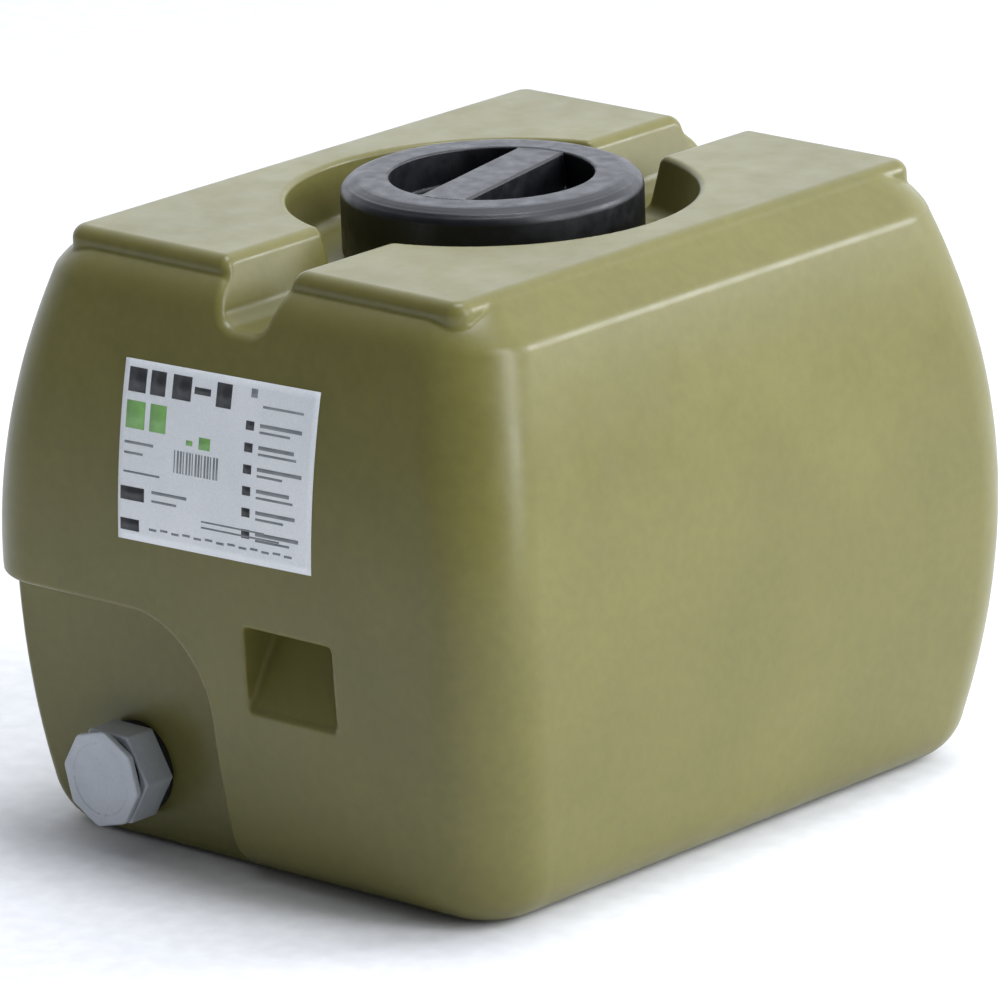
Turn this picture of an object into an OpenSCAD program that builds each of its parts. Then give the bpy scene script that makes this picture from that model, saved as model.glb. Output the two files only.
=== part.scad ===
// Fresh water tank: a one-piece moulded shell with a screw lid and a screw drain plug.
// The origin is the middle of the base, +Z is up and -Y is the front, with the drain.

/* [Tank shell] */
// Overall width across the long sides
tank_w = 415; // [390:1:440]
// Overall length from front to back
tank_l = 486; // [460:1:520]
// Height of the two raised pads
tank_h = 370; // [360:1:380]
// Thickness of the moulded wall
wall = 5; // [4:0.5:6]
// Plan radius of the four upright corners
corner_r = 48; // [40:1:56]
// Height at which the walls bulge out furthest
belly_z = 172; // [160:1:185]
// Radius of the walls' outward bulge above that height
belly_r = 530; // [450:5:700]
// Radius of the walls' outward bulge below that height
lower_belly_r = 620; // [500:5:800]
// Radius of the rounded bottom edge
foot_r = 37; // [32:1:46]
// Height at which the walls turn into the shoulder
shoulder_z = 340; // [334:1:344]
// Radius of the turn into the shoulder, along the two long sides
shoulder_r = 14; // [8:1:20]
// Radius of the turn into the shoulder, at the front and the back
end_shoulder_r = 35; // [20:1:45]

/* [Top] */
// Width of the two pads together
pad_w = 313; // [305:1:318]
// Length of the pads
pad_l = 404; // [396:1:410]
// Plan radius of the pads' corners
pad_corner = 12; // [10:1:16]
// Radius of the pads' rounded upper edge
pad_edge = 8.5; // [6:0.5:9]
// Radius of the round well that the lid sits in
well_r = 122.5; // [118:0.5:126]
// Height of the floor of the well and of the channel
well_z = 333; // [330:1:337]
// Width of the channel at its top
channel_top = 54; // [46:1:60]
// Width of the channel at its floor
channel_floor = 32; // [24:1:40]

/* [Neck and lid] */
// Bore of the filling neck
neck_bore = 148; // [140:1:150]
// Outer radius of the filling neck, under its thread
neck_r = 80; // [79:0.5:81]
// Height of the neck's rim
neck_z = 373; // [371:1:374]
// Rise of the lid's thread in one turn
lid_lead = 10; // [8:1:12]
// Outer radius of the lid
lid_r = 90; // [88:0.5:92]
// Height of the lid's top face
lid_z = 381; // [380:1:383]
// Radius of the sunk middle of the lid
dish_r = 61; // [56:1:63]
// Radius at which the lid's top face starts to slope down to its edge
rim_r = 74; // [70:1:80]
// Width of the grip bar across the sunk middle
bar_w = 31; // [24:1:36]
// Turn of the grip bar from the tank's length
bar_turn = 13; // [0:1:45]

/* [Drain] */
// Sideways place of the drain
drain_x = -109.5; // [-112:0.5:-100]
// Height of the drain
drain_z = 46.5; // [44:0.5:50]
// Radius across the corners of the hexagonal socket
socket_r = 31; // [30:0.5:34]
// Length of the socket outside the wall
socket_len = 22; // [18:1:24]
// Radius across the corners of the octagonal plug head
plug_r = 30.5; // [28:0.5:32]
// Thread radius of the plug's shank
shank_r = 20; // [18:0.5:21]
// Rise of the plug's thread in one turn
plug_lead = 3; // [2.5:0.5:4]

/* [Recess, hand grips and label] */
// Front face of the flat recess round the drain, from the middle
recess_y = 207; // [200:1:212]
// Height of the recess
recess_z = 158; // [150:1:165]
// Right edge of the recess
recess_x = -18; // [-24:1:-12]
// Radius of the recess's upper corner
recess_corner = 58; // [45:1:65]
// Width of a hand grip
grip_w = 70; // [60:1:80]
// Sideways place of the front hand grip
grip_x = 50; // [45:1:55]
// Bottom of the hand grips
grip_low = 112; // [106:1:116]
// Ceiling of the hand grips
grip_high = 164.5; // [160:0.5:170]
// Depth of the hand grips at their ceiling
grip_deep = 29; // [24:1:32]
// Width of the label
label_w = 154; // [140:1:160]
// Height of the label
label_h = 105; // [95:1:110]
// Height of the middle of the label
label_z = 256; // [252:1:260]
// Sideways place of the middle of the label
label_x = -7; // [-15:1:0]

/* [Hidden] */

$fn = 96;
olive = [0.57, 0.56, 0.41];
matt_black = [0.09, 0.09, 0.10];
pvc_grey = [0.53, 0.55, 0.57];
rubber_black = [0.12, 0.12, 0.12];
label_white = [0.90, 0.92, 0.92];

// Shell outline: where the bottom edge's arc begins, and the slopes of the deck below the pads
foot_turn = atan((belly_z - 0.75 * foot_r) / lower_belly_r);
foot_z = foot_r * (1 - sin(foot_turn));
shoulder_turn = atan((shoulder_z - belly_z) / belly_r);
side_slope = 47.5;
end_slope = 56;
deck_z = tank_h - 3.5;
corner_steps = 8;
wall_steps = 6;

// Neck thread: a ridge on the neck and one in the lid, half a turn's rise apart
ridge = 3;
ridge_thick = 3.6;
thread_gap = 1;
neck_thread_z = 352;
neck_turns = 1.5;
lid_skirt_z = well_z + 4;
lid_plate = 5;
dish_floor = 359;
dish_wall = 3.5;
gasket_h = lid_z - lid_plate - neck_z;

// Drain, measured outwards from the recess's face
gasket_t = 3;
gasket_r = 28;
spigot_r = 24;
backnut_h = 12;
washer_t = 4;
washer_r = 25;
head_t = 4;
plug_turned = 37;
shank_len = 14;
hole_gap = 0.5;
nut_gap = 0.2;

// Plug thread: ridges on the shank and in the socket, half a turn's rise apart
shank_core = shank_r - 1.5;
plug_bore = shank_r + 0.5;
plug_ridge_thick = 1.3;
plug_turns = 4;
plug_thread_at = 10.5;

function belly(z) = pow(z - belly_z, 2) / (2 * (z < belly_z ? lower_belly_r : belly_r));

// Inset of the shoulder at height z: an arc of radius r, then a deck that leans in by angle end
function shoulder_in(z, r, end) =
  let (s = sin(shoulder_turn) + (z - shoulder_z) / r,
       arc_top = shoulder_z + r * (sin(end) - sin(shoulder_turn)))
  belly(shoulder_z) + r * cos(shoulder_turn)
    + (s < sin(end) ? -r * sqrt(1 - s * s) : tan(end) * (z - arc_top) - r * cos(end));

// Points of a rounded rectangle, inset from the overall width and length, at height z
function ring(side_in, end_in, z, r) =
  let (w = tank_w / 2 - side_in - r, l = tank_l / 2 - end_in - r)
  [for (c = [0 : 3], i = [0 : corner_steps])
    let (a = 90 * c + 90 * i / corner_steps,
         sx = (c == 0 || c == 3) ? 1 : -1,
         sy = (c < 2) ? 1 : -1)
    [sx * w + r * cos(a), sy * l + r * sin(a), z]];

// Side inset, end inset, height and corner radius from the base up, all moved inwards by t
function outline(t) = concat(
  [for (i = [0 : 5])
    let (a = 90 + (foot_turn - 90) * i / 6,
         in = belly(foot_z) + foot_r * cos(foot_turn) - (foot_r - t) * cos(a))
    [in, in, foot_r - (foot_r - t) * sin(a), max(corner_r - foot_r * (1 - cos(a)), 6)]],
  [for (i = [0 : wall_steps - 1])
    let (z = foot_z + (belly_z - foot_z) * i / wall_steps)
    [belly(z) + t, belly(z) + t, z, corner_r - t]],
  [for (i = [0 : wall_steps])
    let (z = belly_z + (shoulder_z - belly_z) * i / wall_steps)
    [belly(z) + t, belly(z) + t, z - 0.3 * t * i / wall_steps, corner_r - t]],
  [for (z = [343, 346, 350, 355, 360, deck_z])
    let (in = shoulder_in(z, shoulder_r, side_slope),
         end_in = shoulder_in(z, end_shoulder_r, end_slope))
    [in + 0.7 * t, end_in + 0.7 * t, z - 0.7 * t, corner_r - 0.8 * (in - belly(shoulder_z)) - 0.5 * t]]);

// The raised pads, before the channel and the well are cut through them
function pad_outline(t) =
  let (edge = pad_edge - t, side = (tank_w - pad_w) / 2 + t, end = (tank_l - pad_l) / 2 + t)
  concat(
    [[side, end, shoulder_z, pad_corner - t]],
    [for (a = [0 : 22.5 : 90])
      let (in = edge * (1 - cos(a)))
      [side + in, end + in, tank_h - t - edge * (1 - sin(a)), pad_corner - t - in]]);

// Closed loft through an outline's rings
module loft(levels) {
  rings = [for (o = levels) ring(o[0], o[1], o[2], o[3])];
  n = len(rings[0]);
  m = len(rings);
  polyhedron(
    points = [for (r = rings, p = r) p],
    faces = concat(
      [[for (i = [0 : n - 1]) i]],
      [[for (i = [n - 1 : -1 : 0]) (m - 1) * n + i]],
      [for (j = [0 : m - 2], i = [0 : n - 1])
        [j * n + i, (j + 1) * n + i, (j + 1) * n + (i + 1) % n, j * n + (i + 1) % n]]));
}

// Screw ridge that climbs along +Z: from radius ra to rb, and thick at its root
module screw_ridge(ra, rb, thick, lead, turns, steps) {
  half_root = thick / 2;
  half_tip = thick / 4;
  n = round(turns * steps);
  polyhedron(
    points = [for (i = [0 : n])
      let (a = 360 * i / steps, z = lead * i / steps)
      for (q = [[ra, z - half_root], [rb, z - half_tip], [rb, z + half_tip], [ra, z + half_root]])
        [q[0] * cos(a), q[0] * sin(a), q[1]]],
    faces = concat(
      ra < rb ? [[3, 2, 1, 0]] : [[0, 1, 2, 3]],
      ra < rb ? [[4 * n, 4 * n + 1, 4 * n + 2, 4 * n + 3]] : [[4 * n + 3, 4 * n + 2, 4 * n + 1, 4 * n]],
      [for (i = [0 : n - 1], k = [0 : 3])
        let (a = 4 * i + k, b = 4 * i + (k + 1) % 4, c = b + 4, d = a + 4)
        for (f = ra < rb ? [[a, b, d], [b, c, d]] : [[a, d, b], [b, d, c]]) f]));
}

// Round well, the channel through it, the drain recess and the hand grips, wider by t
module well(t) {
  translate([0, 0, well_z - t]) cylinder(r = well_r + t, h = tank_h);
}

module channel(t) {
  low = channel_floor / 2 + t;
  high = channel_top / 2 + t;
  translate([0, tank_l, 0]) rotate([90, 0, 0])
    linear_extrude(2 * tank_l)
      polygon([[-low, well_z - t], [low, well_z - t], [high, tank_h], [high, tank_h + 20],
               [-high, tank_h + 20], [-high, tank_h]]);
}

module recess(t) {
  r = recess_corner + t;
  right = recess_x + t;
  top = recess_z + t;
  translate([0, t - recess_y, 0]) rotate([90, 0, 0])
    linear_extrude(tank_l) {
      translate([right - tank_w, -tank_h]) square([tank_w, tank_h + top - r]);
      translate([right - tank_w, 0]) square([tank_w - r, top]);
      translate([right - r, top - r]) circle(r);
    }
}

module hand_grip(t) {
  face = tank_l / 2 - 3;
  out = tank_l / 2 + 30;
  translate([t + grip_w / 2, 0, 0]) rotate([90, 0, -90])
    linear_extrude(grip_w + 2 * t)
      polygon([[out, grip_low - t], [face - t, grip_low - t],
               [face - grip_deep - t, grip_high + t], [out, grip_high + t]]);
}

module shell_form(t) {
  difference() {
    union() {
      loft(outline(t));
      loft(pad_outline(t));
    }
    well(t);
    channel(t);
    recess(t);
    translate([grip_x, 0, 0]) hand_grip(t);
    rotate([0, 0, 180]) translate([grip_x, 0, 0]) hand_grip(t);
  }
}

module drain_place() {
  translate([drain_x, -recess_y, drain_z]) rotate([90, 0, 0]) children();
}

module tank_body() {
  color(olive)
    difference() {
      union() {
        difference() {
          shell_form(0);
          shell_form(wall);
        }
        translate([0, 0, well_z - wall]) cylinder(r = neck_r, h = neck_z - well_z + wall);
        translate([0, 0, neck_thread_z])
          screw_ridge(neck_r - 0.5, neck_r + ridge, ridge_thick, lid_lead, neck_turns, 36);
      }
      translate([0, 0, well_z - 3 * wall]) cylinder(d = neck_bore, h = neck_z);
      drain_place() translate([0, 0, -2 * wall]) cylinder(r = spigot_r + hole_gap, h = 4 * wall);
    }
}

// Printed label that lies on the bulge of the front wall
module front_label() {
  color(label_white)
    intersection() {
      difference() {
        loft(outline(-0.4));
        loft(outline(0));
      }
      translate([label_x, -tank_l / 2, label_z]) rotate([0, -1.5, 0])
        cube([label_w, 40, label_h], center = true);
    }
}

module manhole_lid() {
  skirt_r = neck_r + ridge + thread_gap;
  color(matt_black)
    union() {
      rotate_extrude()
        polygon([[0, dish_floor - 3], [dish_r, dish_floor - 3],
                 [dish_r + dish_wall, dish_floor + 1], [dish_r + dish_wall, lid_z - lid_plate],
                 [skirt_r, lid_z - lid_plate], [skirt_r, lid_skirt_z],
                 [lid_r, lid_skirt_z], [lid_r, lid_z - 5.5], [lid_r - 2, lid_z - 3.5],
                 [rim_r, lid_z], [dish_r + 2, lid_z], [dish_r, lid_z - 2], [dish_r, dish_floor + 2],
                 [dish_r - 2, dish_floor], [0, dish_floor]]);
      intersection() {
        translate([0, 0, dish_floor - 2]) cylinder(r = dish_r + 1, h = lid_z - dish_floor + 2);
        rotate([0, 0, bar_turn]) translate([0, 0, lid_z / 2 + dish_floor / 2 - 1])
          cube([bar_w, 2 * dish_r + 4, lid_z - dish_floor + 2], center = true);
      }
      translate([0, 0, neck_thread_z - lid_lead / 2])
        screw_ridge(skirt_r + 0.5, skirt_r - ridge, ridge_thick, lid_lead, neck_turns, 36);
    }
}

module lid_gasket() {
  color(rubber_black)
    translate([0, 0, neck_z])
      difference() {
        cylinder(r = neck_r + ridge - 0.5, h = gasket_h);
        translate([0, 0, -1]) cylinder(d = neck_bore - 2, h = gasket_h + 2);
      }
}

// Hexagonal socket outside the wall, with a spigot through the wall
module drain_socket() {
  waterway = shank_core - 1;
  tail = wall + gasket_t + backnut_h + 2;
  color(pvc_grey)
    drain_place()
      union() {
        difference() {
          union() {
            translate([0, 0, gasket_t]) cylinder(r = socket_r, h = socket_len, $fn = 6);
            translate([0, 0, -tail]) cylinder(r = spigot_r, h = tail + gasket_t + 1);
          }
          translate([0, 0, -tail - 1]) cylinder(r = waterway, h = 2 * tail);
          translate([0, 0, gasket_t + socket_len - shank_len - 3])
            cylinder(r = plug_bore, h = shank_len + 4);
        }
        translate([0, 0, plug_thread_at])
          screw_ridge(plug_bore + 0.5, shank_core + 0.5, plug_ridge_thick, plug_lead, plug_turns, 24);
      }
}

module flat_ring(inner, outer, h) {
  difference() {
    cylinder(r = outer, h = h);
    translate([0, 0, -1]) cylinder(r = inner, h = h + 2);
  }
}

module socket_outer_gasket() {
  color(rubber_black)
    drain_place() flat_ring(spigot_r + nut_gap, gasket_r, gasket_t);
}

module socket_inner_gasket() {
  color(rubber_black)
    drain_place() translate([0, 0, -wall - gasket_t]) flat_ring(spigot_r + nut_gap, 31, gasket_t);
}

module drain_backnut() {
  color(pvc_grey)
    drain_place() translate([0, 0, -wall - gasket_t - backnut_h])
      difference() {
        rotate([0, 0, 22.5]) cylinder(r = 34, h = backnut_h, $fn = 8);
        translate([0, 0, -1]) cylinder(r = spigot_r + nut_gap, h = backnut_h + 2);
      }
}

module plug_washer() {
  color(rubber_black)
    drain_place() translate([0, 0, gasket_t + socket_len]) flat_ring(shank_r + 0.3, washer_r, washer_t);
}

module drain_plug() {
  color(pvc_grey)
    drain_place() {
      translate([0, 0, gasket_t + socket_len + washer_t]) rotate([0, 0, plug_turned])
        cylinder(r = plug_r, h = head_t, $fn = 8);
      translate([0, 0, gasket_t + socket_len - shank_len])
        cylinder(r = shank_core, h = washer_t + shank_len + 1);
      translate([0, 0, plug_thread_at + plug_lead / 2])
        screw_ridge(shank_core - 0.5, shank_r, plug_ridge_thick, plug_lead, plug_turns - 0.5, 24);
    }
}

tank_body();
front_label();
manhole_lid();
lid_gasket();
drain_socket();
socket_outer_gasket();
socket_inner_gasket();
drain_backnut();
plug_washer();
drain_plug();
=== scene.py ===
import math

import bpy
import numpy as np
from mathutils import Matrix, Vector


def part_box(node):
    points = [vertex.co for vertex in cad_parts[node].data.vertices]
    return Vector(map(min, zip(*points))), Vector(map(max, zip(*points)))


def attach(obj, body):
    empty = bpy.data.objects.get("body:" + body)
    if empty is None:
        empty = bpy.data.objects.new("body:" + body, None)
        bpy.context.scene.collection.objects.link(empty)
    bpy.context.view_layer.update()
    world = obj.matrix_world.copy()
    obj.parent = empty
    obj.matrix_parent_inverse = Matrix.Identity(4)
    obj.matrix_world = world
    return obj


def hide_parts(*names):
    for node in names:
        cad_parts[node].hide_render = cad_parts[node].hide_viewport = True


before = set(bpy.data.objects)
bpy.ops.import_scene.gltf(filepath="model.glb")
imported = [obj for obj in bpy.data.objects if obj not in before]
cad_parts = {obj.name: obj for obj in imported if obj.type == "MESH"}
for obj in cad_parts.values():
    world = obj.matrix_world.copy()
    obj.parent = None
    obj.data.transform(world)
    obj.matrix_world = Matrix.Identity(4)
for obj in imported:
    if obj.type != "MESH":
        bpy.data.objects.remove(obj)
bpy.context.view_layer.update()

MM = 0.001
TINY = 1e-9

# ---------------------------------------------------------------- sizes, in millimetres
tank_low, tank_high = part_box("tank_body")
HALF_W = tank_high.x / MM
HALF_L = tank_high.y / MM
PAD_TOP = 370.0
CORNER_R = 48.0
BELLY_Z = 172.0
BELLY_R = 530.0
LOWER_BELLY_R = 620.0
FOOT_R = 37.0
SHOULDER_Z = 340.0
SIDE_SHOULDER = (14.0, math.radians(47.5))
END_SHOULDER = (35.0, math.radians(56))
DECK_Z = PAD_TOP - 3.5
WALL = 5.0

PAD_HALF_W = 156.5
PAD_HALF_L = 202.0
PAD_CORNER = 12.0
PAD_EDGE = 8.5
WELL_R = 122.5
WELL_Z = 333.0
WELL_DRAFT = 0.08
CHANNEL_TOP = 27.0
CHANNEL_FLOOR = 16.0
CHANNEL_FILLET = 9.0

NECK_R = 80.0
NECK_BORE = 74.0
NECK_Z = 373.0
LID_R = 90.0
LID_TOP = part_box("manhole_lid")[1].z / MM
LID_SKIRT_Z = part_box("manhole_lid")[0].z / MM
LID_LEAD = 10.0
RIM_R = 83.0
RIM_SLOPE = 0.9
RING_WIDTH = 0.9
RING_RISE = 0.45
NECK_THREAD_Z = 352.0
NECK_TURNS = 1.5
NECK_RIDGE = 3.6
DISH_R = 61.0
DISH_Z = 359.0
BAR_HALF_W = 15.5
BAR_DRAFT = 0.06
BAR_TURN = math.radians(13)

RECESS_Y = 207.0
RECESS_X = -18.0
RECESS_Z = 158.0
RECESS_CORNER = 58.0
RECESS_FILLET = 6.0
RECESS_EDGE = 3.5
GRIP_X = 50.0
GRIP_HALF_W = 35.0
GRIP_LOW = 112.0
GRIP_HIGH = 164.5
GRIP_DEEP = 29.0
GRIP_SINK = 3.4
GRIP_CORNER = 3.5

socket_low, socket_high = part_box("drain_socket")
DRAIN_X = (socket_low.x + socket_high.x) / 2 / MM
DRAIN_Z = (socket_low.z + socket_high.z) / 2 / MM
SPIGOT_R = 24.0
SPIGOT_TAIL = 22.0
SOCKET_R = 31.0
SOCKET_IN = 3.0
SOCKET_OUT = 25.0
PLUG_R = 30.5
PLUG_TURNED = math.radians(37)
HEAD_IN = 29.0
PLUG_OUT = 33.0
PLUG_TAIL = 11.0
SHANK_R = 20.0
PLUG_CORE = 18.5
PLUG_BORE = 20.5
PLUG_LEAD = 3.0
PLUG_THREAD = 10.5
PLUG_TURNS = 3
PLUG_RIDGE = 1.3
FAR = 9.0

LABEL_X = -7.0
LABEL_Z = 256.0
LABEL_W = 154.0
LABEL_H = 105.0
LABEL_TILT = math.radians(1.5)


# ---------------------------------------------------------------- distance functions
def meet(a, b, r):
    """Where a and b overlap, with the edge between them rounded to radius r."""
    return np.minimum(np.maximum(a, b), -r) + np.hypot(np.maximum(a + r, 0), np.maximum(b + r, 0))


def join(a, b, r):
    """a and b together, with a fillet of radius r where they meet."""
    return -meet(-a, -b, r)


def cut(a, b, r):
    """a without b, with the edges of the cut rounded to radius r."""
    return meet(a, -b, r)


def round_rect(x, y, half_x, half_y, r):
    qx = np.abs(x) - (half_x - r)
    qy = np.abs(y) - (half_y - r)
    return np.hypot(np.maximum(qx, 0), np.maximum(qy, 0)) + np.minimum(np.maximum(qx, qy), 0) - r


def belly(z):
    return (z - BELLY_Z) ** 2 / (2 * np.where(z < BELLY_Z, LOWER_BELLY_R, BELLY_R))


FOOT_TURN = math.atan((BELLY_Z - 0.75 * FOOT_R) / LOWER_BELLY_R)
FOOT_Z = FOOT_R * (1 - math.sin(FOOT_TURN))
SHOULDER_TURN = math.atan((SHOULDER_Z - BELLY_Z) / BELLY_R)


def shoulder(z, r, end):
    """Inset above the wall: an arc of radius r, then a straight deck leaning in by angle end."""
    sine = np.clip(math.sin(SHOULDER_TURN) + (z - SHOULDER_Z) / r, 0, math.sin(end))
    arc_top = SHOULDER_Z + r * (math.sin(end) - math.sin(SHOULDER_TURN))
    arc = r * (math.cos(SHOULDER_TURN) - np.sqrt(1 - sine ** 2))
    return arc + math.tan(end) * np.maximum(z - arc_top, 0)


def insets(z):
    """How far the side walls and the end walls stand in from the overall size at height z."""
    sine = np.clip((FOOT_R - z) / FOOT_R, 0, 1)
    foot = FOOT_R * (math.cos(FOOT_TURN) - np.sqrt(1 - sine ** 2))
    wall = belly(np.clip(z, FOOT_Z, SHOULDER_Z)) + np.where(z < FOOT_Z, foot, 0)
    bends = (SIDE_SHOULDER, END_SHOULDER)
    return [wall + np.where(z > SHOULDER_Z, shoulder(z, *bend), 0) for bend in bends]


def barrel(x, y, z):
    """Solid bounded by the four bulging walls, the foot, the shoulders and the deck."""
    side_in, end_in = insets(z)
    step = 0.5
    tilts = [(ahead - behind) / (2 * step) for ahead, behind in zip(insets(z + step), insets(z - step))]
    wall_in = belly(np.clip(z, FOOT_Z, SHOULDER_Z))
    shrink = np.where(z < BELLY_Z, 1.0, 0.8)
    corner = np.clip(CORNER_R - shrink * (side_in - wall_in), 6, CORNER_R)
    half_x, half_y = HALF_W - side_in, HALF_L - end_in
    outside = round_rect(x, y, half_x, half_y, corner)
    qx = np.maximum(np.abs(x) - half_x + corner, 0)
    qy = np.maximum(np.abs(y) - half_y + corner, 0)
    inner = qx + qy < TINY
    share = np.where(inner, np.abs(x) - half_x > np.abs(y) - half_y,
                     qx ** 2 / np.maximum(qx ** 2 + qy ** 2, TINY))
    tilt = share * tilts[0] + (1 - share) * tilts[1]
    return np.maximum(np.maximum(outside / np.sqrt(1 + tilt ** 2), z - DECK_Z), -z)


def hand_grip(x, y, z):
    """Wedge-shaped pocket in the front wall: deepest at its ceiling."""
    mouth = HALF_L - GRIP_SINK
    run = GRIP_DEEP / (GRIP_HIGH - GRIP_LOW)
    back = ((y + mouth) - (z - GRIP_LOW) * run) / math.hypot(1, run)
    sides = round_rect(x - GRIP_X, z - (GRIP_HIGH + GRIP_LOW) / 2, GRIP_HALF_W,
                       (GRIP_HIGH - GRIP_LOW) / 2, GRIP_CORNER)
    return meet(sides, back, 3)


def shell_form(x, y, z):
    """Outside of the moulding, filled in: barrel and pads less everything moulded into them."""
    slope = (CHANNEL_TOP - CHANNEL_FLOOR) / (PAD_TOP - WELL_Z)
    side = (np.abs(x) - CHANNEL_FLOOR - slope * (z - WELL_Z)) / math.hypot(1, slope)
    channel = meet(side, WELL_Z - z, CHANNEL_FILLET)
    pads = meet(round_rect(x, y, PAD_HALF_W, PAD_HALF_L, PAD_CORNER), z - PAD_TOP, PAD_EDGE)
    form = join(barrel(x, y, z), np.maximum(pads, SHOULDER_Z - z), 1.4)
    form = cut(form, channel, 5.5)
    around = np.hypot(x, y)
    well = meet(around - WELL_R - WELL_DRAFT * (z - PAD_TOP), WELL_Z - z, 7)
    form = cut(form, well, 3)
    corner = meet(x - RECESS_X, z - RECESS_Z, RECESS_CORNER)
    form = cut(form, meet(corner, y + RECESS_Y, RECESS_FILLET), RECESS_EDGE)
    form = cut(form, hand_grip(x, y, z), 1.8)
    return cut(form, hand_grip(-x, -y, z), 1.8)


def tank_form(x, y, z):
    """The whole moulding: a shell of even wall, its neck, and its two openings."""
    outside = shell_form(x, y, z)
    solid = np.maximum(outside, -(outside + WALL))
    around = np.hypot(x, y)
    neck = meet(around - NECK_R, z - NECK_Z, 1.5)
    neck = np.maximum(neck, WELL_Z - WALL - z)
    solid = join(solid, neck, 3)
    solid = cut(solid, np.maximum(around - NECK_BORE, WELL_Z - 3 * WALL - z), 1.5)
    hole = np.hypot(x - DRAIN_X, z - DRAIN_Z) - SPIGOT_R - 0.5
    return np.maximum(solid, -np.maximum(hole, y + RECESS_Y - 3 * WALL))


# ---------------------------------------------------------------- meshing
def graded(stops):
    """Grid lines between stops, each stop a place and the spacing from there on."""
    lines = []
    for (start, gap), (end, _) in zip(stops, stops[1:]):
        count = max(1, round((end - start) / gap))
        lines.extend(start + (end - start) * np.arange(count) / count)
    return np.array(lines + [stops[-1][0]])


def surface(form, xs, ys, zs):
    """Vertices and quads of form's zero surface on a rectilinear grid (surface nets)."""
    field = form(xs[:, None, None], ys[None, :, None], zs[None, None, :])
    field = np.broadcast_to(field, (len(xs), len(ys), len(zs)))
    within = field < 0
    corners = [(a, b, c) for a in (0, 1) for b in (0, 1) for c in (0, 1)]
    shape = tuple(n - 1 for n in within.shape)
    count = np.zeros(shape, np.int8)
    for a, b, c in corners:
        count += within[a:a + shape[0], b:b + shape[1], c:c + shape[2]]
    ijk = np.argwhere((count > 0) & (count < 8))
    index = np.full(shape, -1, np.int64)
    index[tuple(ijk.T)] = np.arange(len(ijk))

    axes = (xs, ys, zs)
    value = {c: field[tuple((ijk + c).T)] for c in corners}
    place = {c: np.stack([axes[k][ijk[:, k] + c[k]] for k in range(3)], 1) for c in corners}
    total = np.zeros((len(ijk), 3))
    hits = np.zeros(len(ijk))
    for c in corners:
        for k in range(3):
            if c[k]:
                continue
            d = tuple(v + (m == k) for m, v in enumerate(c))
            crossed = (value[c] < 0) != (value[d] < 0)
            share = np.where(crossed, value[c] / np.where(crossed, value[c] - value[d], 1), 0)
            total += np.where(crossed[:, None], place[c] + share[:, None] * (place[d] - place[c]), 0)
            hits += crossed
    points = total / hits[:, None]

    quads = []
    for k in range(3):
        u, v = (k + 1) % 3, (k + 2) % 3
        low = [slice(None)] * 3
        high = [slice(None)] * 3
        low[k], high[k] = slice(None, -1), slice(1, None)
        first, second = within[tuple(low)], within[tuple(high)]
        edge = np.argwhere(first != second)
        keep = (edge[:, u] > 0) & (edge[:, v] > 0)
        keep &= (edge[:, u] < within.shape[u] - 1) & (edge[:, v] < within.shape[v] - 1)
        edge = edge[keep]
        ring = []
        for du, dv in ((-1, -1), (0, -1), (0, 0), (-1, 0)):
            cell = edge.copy()
            cell[:, u] += du
            cell[:, v] += dv
            ring.append(index[tuple(cell.T)])
        ring = np.stack(ring, 1)
        outward = first[tuple(edge.T)]
        quads.append(np.where(outward[:, None], ring, ring[:, ::-1]))
    return points, np.concatenate(quads)


def slope_of(form, points):
    step = 0.05
    out = np.zeros_like(points)
    for k in range(3):
        move = np.zeros(3)
        move[k] = step
        ahead, behind = points + move, points - move
        out[:, k] = (form(*ahead.T) - form(*behind.T)) / (2 * step)
    return out


def settle(form, points, reach, rounds=3):
    """Moves points onto the zero surface, no further than reach each round."""
    for _ in range(rounds):
        slope = slope_of(form, points)
        size = np.maximum((slope ** 2).sum(1), 0.05)
        move = -(form(*points.T) / size)[:, None] * slope
        length = np.linalg.norm(move, axis=1, keepdims=True)
        points = points + move * np.minimum(1, reach / np.maximum(length, TINY))
    return points


def mesh_object(name, points, quads, form=None):
    """Blender mesh of points in millimetres, shaded by form's own slope."""
    mesh = bpy.data.meshes.new(name)
    mesh.vertices.add(len(points))
    mesh.vertices.foreach_set("co", (points * MM).astype(np.float32).ravel())
    mesh.loops.add(quads.size)
    mesh.loops.foreach_set("vertex_index", quads.astype(np.int32).ravel())
    mesh.polygons.add(len(quads))
    mesh.polygons.foreach_set("loop_start", np.arange(len(quads), dtype=np.int32) * quads.shape[1])
    mesh.polygons.foreach_set("use_smooth", np.ones(len(quads), bool))
    mesh.update(calc_edges=True)
    mesh.validate()
    if form is not None:
        normals = slope_of(form, points)
        normals /= np.maximum(np.linalg.norm(normals, axis=1, keepdims=True), TINY)
        mesh.normals_split_custom_set_from_vertices(normals.tolist())
    obj = bpy.data.objects.new(name, mesh)
    bpy.context.scene.collection.objects.link(obj)
    return obj


def formed(name, form, xs, ys, zs):
    points, quads = surface(form, xs, ys, zs)
    reach = 0.5 * min(np.diff(xs).min(), np.diff(ys).min(), np.diff(zs).min())
    points = settle(form, points, reach)
    return mesh_object(name, points, quads, form)


# ---------------------------------------------------------------- tank body
side_gap, tall_gap, top_gap = 2.1, 3.0, 1.3

across = graded([(-HALF_W - 6, side_gap), (HALF_W + 6, side_gap)])
along = graded([(-HALF_L - 6, side_gap), (HALF_L + 6, side_gap)])
upward = graded([(-6, tall_gap), (330, top_gap), (PAD_TOP + 8, top_gap)])
tank = formed("tank_moulding", tank_form, across, along, upward)


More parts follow.
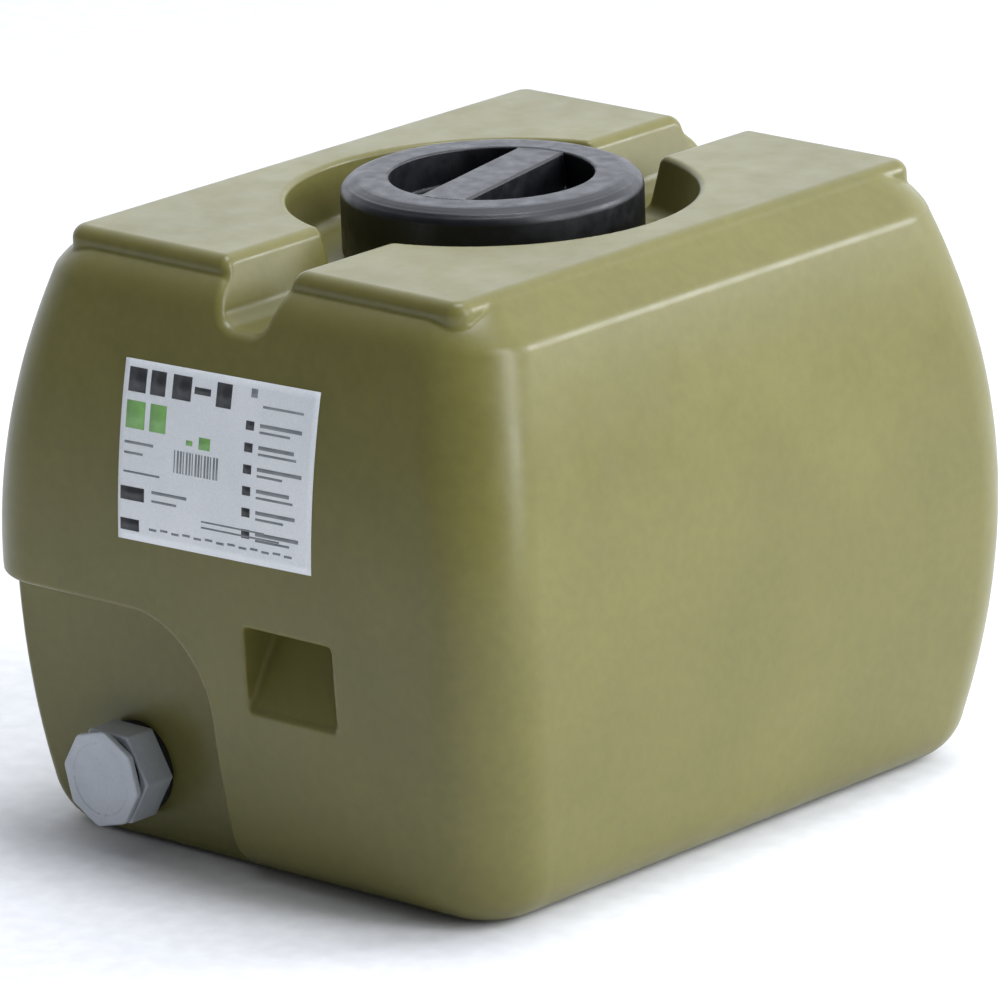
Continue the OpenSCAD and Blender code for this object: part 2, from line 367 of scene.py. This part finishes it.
# ---------------------------------------------------------------- lid
def ridge_side(turn, along, lead, first, turns, thick, rise):
    """Distance beside a screw ridge that narrows to half its foot as rise goes from 0 to 1."""
    step = (along - first) / lead - turn
    beside = np.abs(step - np.clip(np.round(step), 0, turns)) * lead
    return beside - thick * (0.5 - 0.25 * rise)


def lid_form(x, y, z):
    around = np.hypot(x, y)
    rings = sum(np.exp(-((around - at) / RING_WIDTH) ** 2) for at in (RIM_R - 3, RIM_R + 3))
    sloped = z - LID_TOP + RIM_SLOPE * (around - RIM_R) - RING_RISE * rings
    rim = sloped / math.hypot(1, RIM_SLOPE)
    skirt = meet(around - LID_R, meet(z - LID_TOP, rim, 4), 2.0)
    skirt = meet(skirt, LID_SKIRT_Z - z, 1)
    hollow = np.maximum(around - LID_R + 6, z - (LID_TOP - 5))
    bowl = meet(around - DISH_R - 3.5, DISH_Z - 3 - z, 1)
    form = cut(skirt, np.maximum(hollow, -bowl), 0.8)
    form = cut(form, meet(around - DISH_R, DISH_Z - z, 2.5), 1.4)
    across = np.abs(x * math.cos(BAR_TURN) + y * math.sin(BAR_TURN))
    bar = meet(across - BAR_HALF_W - BAR_DRAFT * (LID_TOP - z), z - LID_TOP + 0.3, 1.8)
    bar = np.maximum(bar, np.maximum(around - DISH_R - 1, DISH_Z - 3 - z))
    form = join(form, bar, 1.4)
    turn = np.arctan2(y, x) / (2 * math.pi)
    rise = (around - NECK_R - 1) / 4
    ridge = ridge_side(turn, z, LID_LEAD, NECK_THREAD_Z - LID_LEAD / 2, 1, NECK_RIDGE, rise)
    ridge = np.maximum(ridge, np.maximum(NECK_R + 1 - around, around - NECK_R - 5))
    return np.minimum(form, ridge)


lid_gap = 0.85
ring = graded([(-LID_R - 3.37, lid_gap), (LID_R + 3.37, lid_gap)])
tall = graded([(LID_SKIRT_Z - 3, lid_gap), (LID_TOP - 3, 0.7 * lid_gap), (LID_TOP + 3, lid_gap)])
lid = formed("lid_moulding", lid_form, ring, ring, tall)


# ---------------------------------------------------------------- drain
def drain_frame(x, y, z):
    """Sideways, up, radius, turn in revolutions, and distance out from the recess's face."""
    side, height = x - DRAIN_X, z - DRAIN_Z
    turn = np.arctan2(height, side) / (2 * math.pi)
    return side, height, np.hypot(side, height), turn, -y - RECESS_Y


def prism(side, height, sides, apothem, turned, r):
    """Distance to a regular prism with rounded upright edges."""
    form = None
    for k in range(sides):
        angle = turned + 2 * math.pi * k / sides
        face = side * math.cos(angle) + height * math.sin(angle) - apothem
        form = face if form is None else meet(form, face, r)
    return form


def socket_form(x, y, z):
    side, height, around, turn, out = drain_frame(x, y, z)
    hexagon = prism(side, height, 6, SOCKET_R * math.cos(math.pi / 6), math.pi / 6, 1.0)
    body = meet(hexagon, out - SOCKET_OUT, 1.4)
    body = meet(body, SOCKET_IN - out, 0.8)
    spigot = meet(around - SPIGOT_R, -out - SPIGOT_TAIL, 0.8)
    form = join(body, np.maximum(spigot, out - SOCKET_IN - 1), 0.5)
    form = cut(form, around - PLUG_CORE + 1, 0.6)
    form = cut(form, np.maximum(around - PLUG_BORE, SOCKET_OUT - 17 - out), 0.8)
    rise = (PLUG_BORE + 0.5 - around) / 2
    ridge = ridge_side(turn, out, PLUG_LEAD, PLUG_THREAD, PLUG_TURNS, PLUG_RIDGE, rise)
    ridge = np.maximum(ridge, PLUG_CORE + 0.5 - around)
    return np.minimum(form, np.where(around < PLUG_BORE + 0.5, ridge, FAR))


def plug_form(x, y, z):
    side, height, around, turn, out = drain_frame(x, y, z)
    octagon = prism(side, height, 8, PLUG_R * math.cos(math.pi / 8), PLUG_TURNED + math.pi / 8, 1.6)
    head = meet(octagon, out - PLUG_OUT, 1.1)
    head = meet(head, HEAD_IN - out, 0.8)
    head = cut(head, np.maximum(around - 22, PLUG_OUT - 0.4 - out), 0.4)
    shank = np.maximum(meet(around - PLUG_CORE, PLUG_TAIL - out, 1), out - HEAD_IN - 0.5)
    form = join(head, shank, 0.6)
    rise = (around - PLUG_CORE + 0.5) / 2
    first = PLUG_THREAD + PLUG_LEAD / 2
    ridge = ridge_side(turn, out, PLUG_LEAD, first, PLUG_TURNS, PLUG_RIDGE, rise)
    ridge = np.maximum(ridge, np.maximum(around - SHANK_R, PLUG_CORE - 0.6 - around))
    return np.minimum(form, ridge)


def drain_piece(name, form, reach, near, far):
    gap = 0.65
    wide = graded([(DRAIN_X - reach, gap), (DRAIN_X + reach, gap)])
    high = graded([(DRAIN_Z - reach, gap), (DRAIN_Z + reach, gap)])
    deep = graded([(-RECESS_Y - far, gap), (-RECESS_Y - near, gap)])
    return formed(name, form, wide, deep, high)


socket = drain_piece("drain_socket_moulding", socket_form, SOCKET_R + 2, -SPIGOT_TAIL - 2,
                     SOCKET_OUT + 2)
plug = drain_piece("drain_plug_moulding", plug_form, PLUG_R + 2, PLUG_TAIL - 2, PLUG_OUT + 2)


# ---------------------------------------------------------------- neck thread
def neck_thread():
    steps = 96
    count = round(NECK_TURNS * steps)
    profile = [(-0.5, -0.5), (-0.25, 1.0), (0.25, 1.0), (0.5, -0.5)]
    points = []
    for i in range(count + 1):
        angle = 2 * math.pi * i / steps
        full = min(1, i / 10, (count - i) / 10)
        for share, rise in profile:
            radius = NECK_R + (3 * full * rise if rise > 0 else rise)
            height = NECK_THREAD_Z + LID_LEAD * i / steps + 3.6 * share
            points.append((radius * math.cos(angle), radius * math.sin(angle), height))
    faces = [(3, 2, 1, 0), tuple(4 * count + k for k in range(4))]
    for i in range(count):
        for k in range(4):
            a, b = 4 * i + k, 4 * i + (k + 1) % 4
            faces.append((a, b, b + 4, a + 4))
    return mesh_object("neck_thread", np.array(points), np.array(faces))


thread_ridge = neck_thread()


# ---------------------------------------------------------------- label
def front_wall(u, v, lift):
    """A point lift above the front wall, for u and v along and up the label, in millimetres."""
    x = LABEL_X + u * math.cos(LABEL_TILT) - v * math.sin(LABEL_TILT)
    z = LABEL_Z + u * math.sin(LABEL_TILT) + v * math.cos(LABEL_TILT)
    return np.stack([x, -(HALF_L - belly(z) + lift), z], -1)


def patch(low, high, bottom, top, step):
    """Closed thin block over a rectangle of the label, following the wall's bulge."""
    (u0, v0), (u1, v1) = low, high
    nu = max(1, math.ceil((u1 - u0) / step))
    nv = max(1, math.ceil((v1 - v0) / step))
    us = u0 + (u1 - u0) * np.arange(nu + 1) / nu
    vs = v0 + (v1 - v0) * np.arange(nv + 1) / nv
    uu, vv = np.meshgrid(us, vs, indexing="ij")
    points = [front_wall(uu, vv, lift).reshape(-1, 3) for lift in (top, bottom)]
    size = (nu + 1) * (nv + 1)
    at = lambda i, j: i * (nv + 1) + j
    faces = []
    for i in range(nu):
        for j in range(nv):
            quad = (at(i, j), at(i + 1, j), at(i + 1, j + 1), at(i, j + 1))
            faces += [quad, tuple(size + k for k in quad[::-1])]
    rim = [at(i, 0) for i in range(nu)] + [at(nu, j) for j in range(nv)]
    rim += [at(i, nv) for i in range(nu, 0, -1)] + [at(0, j) for j in range(nv, 0, -1)]
    for a, b in zip(rim, rim[1:] + rim[:1]):
        faces.append((a, size + a, size + b, b))
    return np.concatenate(points), np.array(faces)


def ink(name, boxes, lift=0.42):
    """One mesh of printed blocks: each box is (left, bottom, right, top) on the label."""
    points, faces, start = [], [], 0
    for left, bottom, right, top in boxes:
        p, f = patch((left, bottom), (right, top), lift - 0.06, lift, 8)
        points.append(p)
        faces.append(f + start)
        start += len(p)
    return mesh_object(name, np.concatenate(points), np.concatenate(faces))


sheet_points, sheet_faces = patch((-LABEL_W / 2, -LABEL_H / 2), (LABEL_W / 2, LABEL_H / 2), 0.05, 0.36, 5)
label = mesh_object("label_sheet", sheet_points, sheet_faces)

LEFT_EDGE = -73
MIDDLE = -50
COLUMN = 33
TITLE_BLOCKS = ((14, 34, 48), (12, 34, 48), (15, 34, 48), (13, 39, 43), (12, 34, 48))
title = []
for k, (width, low, high) in enumerate(TITLE_BLOCKS):
    start = LEFT_EDGE + 17.5 * k
    title.append((start, low, start + width, high))
bars = []
for k in range(15):
    start = -33 + 2.4 * k
    bars.append((start, -8, start + (1.5 if k % 3 else 0.9), 5))
rows = [27 - 12.5 * k for k in range(6)]
icons = [(22, r - 2.6, 28.5, r + 2.6) for r in rows]
lines = [(COLUMN, r - 0.2, COLUMN + w, r + 2.0) for r, w in zip(rows, (33, 28, 35, 26, 31, 34))]
lines += [(COLUMN, r - 3.6, COLUMN + w, r - 2.2) for r, w in zip(rows, (24, 30, 20, 29, 22, 27))]
small = [(LEFT_EDGE, 4, MIDDLE, 5.6), (LEFT_EDGE, -2, -58, -0.6), (LEFT_EDGE, -13, -44, -11.8)]
small += [(MIDDLE, -23, -22, -21.2), (MIDDLE, -28, -30, -26.6)]
for k in range(13):
    start, drop = 9 * k - 52, 45 - 0.6 * (k % 2)
    small.append((start, -drop, start + 6, 1.4 - drop))
small += [(-10, -34, 40, -33), (-10, -37.5, 52, -36.4), (34, 38, 66, 39.4)]
squares = [(LEFT_EDGE, 13, -58, 29), (-54, 13, -41, 29), (-24, 9, -19, 12), (-14, 8, -5, 15)]
dark = ink("label_ink_dark", title + icons + [(-75, -29, -56, -21), (-75, -47, -60, -40)])
pale = ink("label_ink_grey", lines + small + bars + [(24, 43, 29, 48)])
green = ink("label_ink_green", squares)


# ---------------------------------------------------------------- which body each piece rides on
PIECES = (
    (tank, "root", "tank_plastic", ["tank_body"]),
    (thread_ridge, "root", "tank_plastic", []),
    (lid, "lid", "lid_plastic", ["manhole_lid"]),
    (socket, "root", "pvc_grey", ["drain_socket"]),
    (plug, "plug", "pvc_grey", ["drain_plug"]),
    (label, "root", "label_film", ["front_label"]),
    (dark, "root", "label_film", []),
    (pale, "root", "label_film", []),
    (green, "root", "label_film", []),
)
for piece, body, slot, nodes in PIECES:
    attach(piece, body)
    if nodes:
        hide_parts(*nodes)


# ---------------------------------------------------------------- materials
def surface_material(name, colours, rough, blotch, grain, bump, specular=0.5):
    """Moulded plastic, rubber or film: colour drifts between two tones in soft blotches,
    roughness and a fine skin come from finer noise. Scales are features per metre."""
    material = bpy.data.materials.new(name)
    material.use_nodes = True
    nodes, links = material.node_tree.nodes, material.node_tree.links
    shader = nodes["Principled BSDF"]
    place = nodes.new("ShaderNodeTexCoord").outputs["Object"]

    def noise(scale, detail):
        texture = nodes.new("ShaderNodeTexNoise")
        texture.inputs["Scale"].default_value = scale
        texture.inputs["Detail"].default_value = detail
        links.new(place, texture.inputs["Vector"])
        return texture.outputs["Fac"]

    def map_range(value, *limits):
        spread = nodes.new("ShaderNodeMapRange")
        for socket_name, limit in zip(("From Min", "From Max", "To Min", "To Max"), limits):
            spread.inputs[socket_name].default_value = limit
        links.new(value, spread.inputs["Value"])
        return spread.outputs["Result"]

    ramp = nodes.new("ShaderNodeValToRGB")
    ramp.color_ramp.elements[0].position = 0.32
    ramp.color_ramp.elements[1].position = 0.70
    ramp.color_ramp.elements[0].color = (*colours[0], 1)
    ramp.color_ramp.elements[1].color = (*colours[1], 1)
    links.new(noise(blotch, 4), ramp.inputs["Fac"])
    speck = nodes.new("ShaderNodeMixRGB")
    speck.blend_type = "MULTIPLY"
    speck.inputs["Fac"].default_value = 1.0
    links.new(ramp.outputs["Color"], speck.inputs["Color1"])
    links.new(map_range(noise(grain / 3, 3), 0.35, 0.65, 0.93, 1.0), speck.inputs["Color2"])
    links.new(speck.outputs["Color"], shader.inputs["Base Color"])

    links.new(map_range(noise(blotch * 5, 6), 0.3, 0.7, *rough), shader.inputs["Roughness"])

    skin = nodes.new("ShaderNodeBump")
    skin.inputs["Strength"].default_value = bump
    skin.inputs["Distance"].default_value = 0.0004
    links.new(noise(grain, 3), skin.inputs["Height"])
    wave = nodes.new("ShaderNodeBump")
    wave.inputs["Strength"].default_value = 0.5 * bump
    wave.inputs["Distance"].default_value = 0.004
    links.new(noise(blotch * 1.6, 1), wave.inputs["Height"])
    links.new(wave.outputs["Normal"], skin.inputs["Normal"])
    links.new(skin.outputs["Normal"], shader.inputs["Normal"])
    shader.inputs["Specular IOR Level"].default_value = specular
    return material


olive = surface_material("olive_polyethylene", ((0.140, 0.128, 0.034), (0.165, 0.151, 0.041)),
                         (0.28, 0.38), 9, 420, 0.10, 0.36)
black = surface_material("black_polypropylene", ((0.0018, 0.002, 0.003), (0.004, 0.0045, 0.006)),
                         (0.30, 0.46), 20, 1500, 0.3)
grey = surface_material("grey_pvc", ((0.46, 0.49, 0.53), (0.54, 0.57, 0.61)),
                        (0.36, 0.50), 40, 1800, 0.25)
rubber = surface_material("seal_rubber", ((0.008, 0.008, 0.008), (0.016, 0.016, 0.016)),
                          (0.6, 0.8), 60, 2500, 0.4)
film = surface_material("label_film", ((0.80, 0.83, 0.84), (0.88, 0.90, 0.91)),
                        (0.28, 0.38), 18, 2500, 0.08)
INK = ((0.35, 0.5), 80, 2500, 0.05)
dark_ink = surface_material("dark_ink", ((0.02, 0.021, 0.023), (0.035, 0.036, 0.038)), *INK)
grey_ink = surface_material("grey_ink", ((0.16, 0.18, 0.19), (0.26, 0.28, 0.29)), *INK)
green_ink = surface_material("green_ink", ((0.16, 0.36, 0.09), (0.22, 0.46, 0.13)), *INK)

for obj, material in ((tank, olive), (thread_ridge, olive), (lid, black), (socket, grey), (plug, grey),
                      (label, film), (dark, dark_ink), (pale, grey_ink), (green, green_ink)):
    obj.data.materials.append(material)
for node, material in (("drain_backnut", grey), ("lid_gasket", rubber), ("plug_washer", rubber),
                       ("socket_outer_gasket", rubber), ("socket_inner_gasket", rubber)):
    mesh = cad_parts[node].data
    mesh.materials.clear()
    mesh.materials.append(material)

# ---------------------------------------------------------------- camera
AZIMUTH = math.radians(42.59)
ELEVATION = math.radians(16.58)
ROLL = math.radians(-1.97)
DISTANCE = 5.75
TARGET = Vector((0, 0, 0.185))
back = Vector((math.sin(AZIMUTH) * math.cos(ELEVATION), -math.cos(AZIMUTH) * math.cos(ELEVATION),
               math.sin(ELEVATION)))
right = (-back).cross(Vector((0, 0, 1))).normalized()
up = right.cross(-back)
right, up = (math.cos(ROLL) * right + math.sin(ROLL) * up,
             -math.sin(ROLL) * right + math.cos(ROLL) * up)
camera = bpy.data.objects.new("camera", bpy.data.cameras.new("camera"))
camera.data.lens = 347.3
camera.data.sensor_width = 36
camera.data.shift_x = -0.0026
camera.data.shift_y = -0.0091
camera.matrix_world = Matrix((right, up, back)).transposed().to_4x4()
camera.matrix_world.translation = TARGET + DISTANCE * back
bpy.context.scene.collection.objects.link(camera)
bpy.context.scene.camera = camera

# ---------------------------------------------------------------- floor and light
FLOOR = 12.0
floor = mesh_object("floor", np.array([(-FLOOR, -FLOOR, 0), (FLOOR, -FLOOR, 0), (FLOOR, FLOOR, 0),
                                       (-FLOOR, FLOOR, 0)]) / MM, np.array([(0, 1, 2, 3)]))
floor.data.materials.append(surface_material("pale_floor", ((0.86, 0.86, 0.86), (0.9, 0.9, 0.9)),
                                             (0.8, 0.9), 0.5, 200, 0.0))


def softbox(name, place, aim, size, power):
    light = bpy.data.lights.new(name, "AREA")
    light.shape = "RECTANGLE"
    light.size, light.size_y = size
    light.energy = power
    light.color = (0.95, 0.98, 1.06)
    obj = bpy.data.objects.new(name, light)
    obj.location = place
    obj.rotation_euler = (Vector(aim) - Vector(place)).to_track_quat("-Z", "Y").to_euler()
    bpy.context.scene.collection.objects.link(obj)


softbox("right_softbox", (3.0, 0.3, 1.75), (0, 0, 0.3), (0.8, 3.0), 74)
softbox("top_softbox", (0.2, 0.3, 3.2), (0, 0, 0.3), (1.2, 1.2), 45)
softbox("back_softbox", (1.8, 2.1, 1.3), (0, 0, 0.35), (0.9, 0.8), 36)

world = bpy.data.worlds.new("studio")
world.use_nodes = True
nodes, links = world.node_tree.nodes, world.node_tree.links
direction = nodes.new("ShaderNodeTexCoord").outputs["Generated"]
split = nodes.new("ShaderNodeSeparateXYZ")
links.new(direction, split.inputs["Vector"])
bright = nodes.new("ShaderNodeMapRange")
bright.inputs["From Min"].default_value = -0.5
bright.inputs["From Max"].default_value = 0.6
bright.inputs["To Min"].default_value = 0.13
bright.inputs["To Max"].default_value = 1.6
links.new(split.outputs["Y"], bright.inputs["Value"])
links.new(bright.outputs["Result"], nodes["Background"].inputs["Strength"])
nodes["Background"].inputs["Color"].default_value = (0.94, 0.98, 1.07, 1)
bpy.context.scene.world = world
bpy.context.scene.view_settings.view_transform = "Standard"
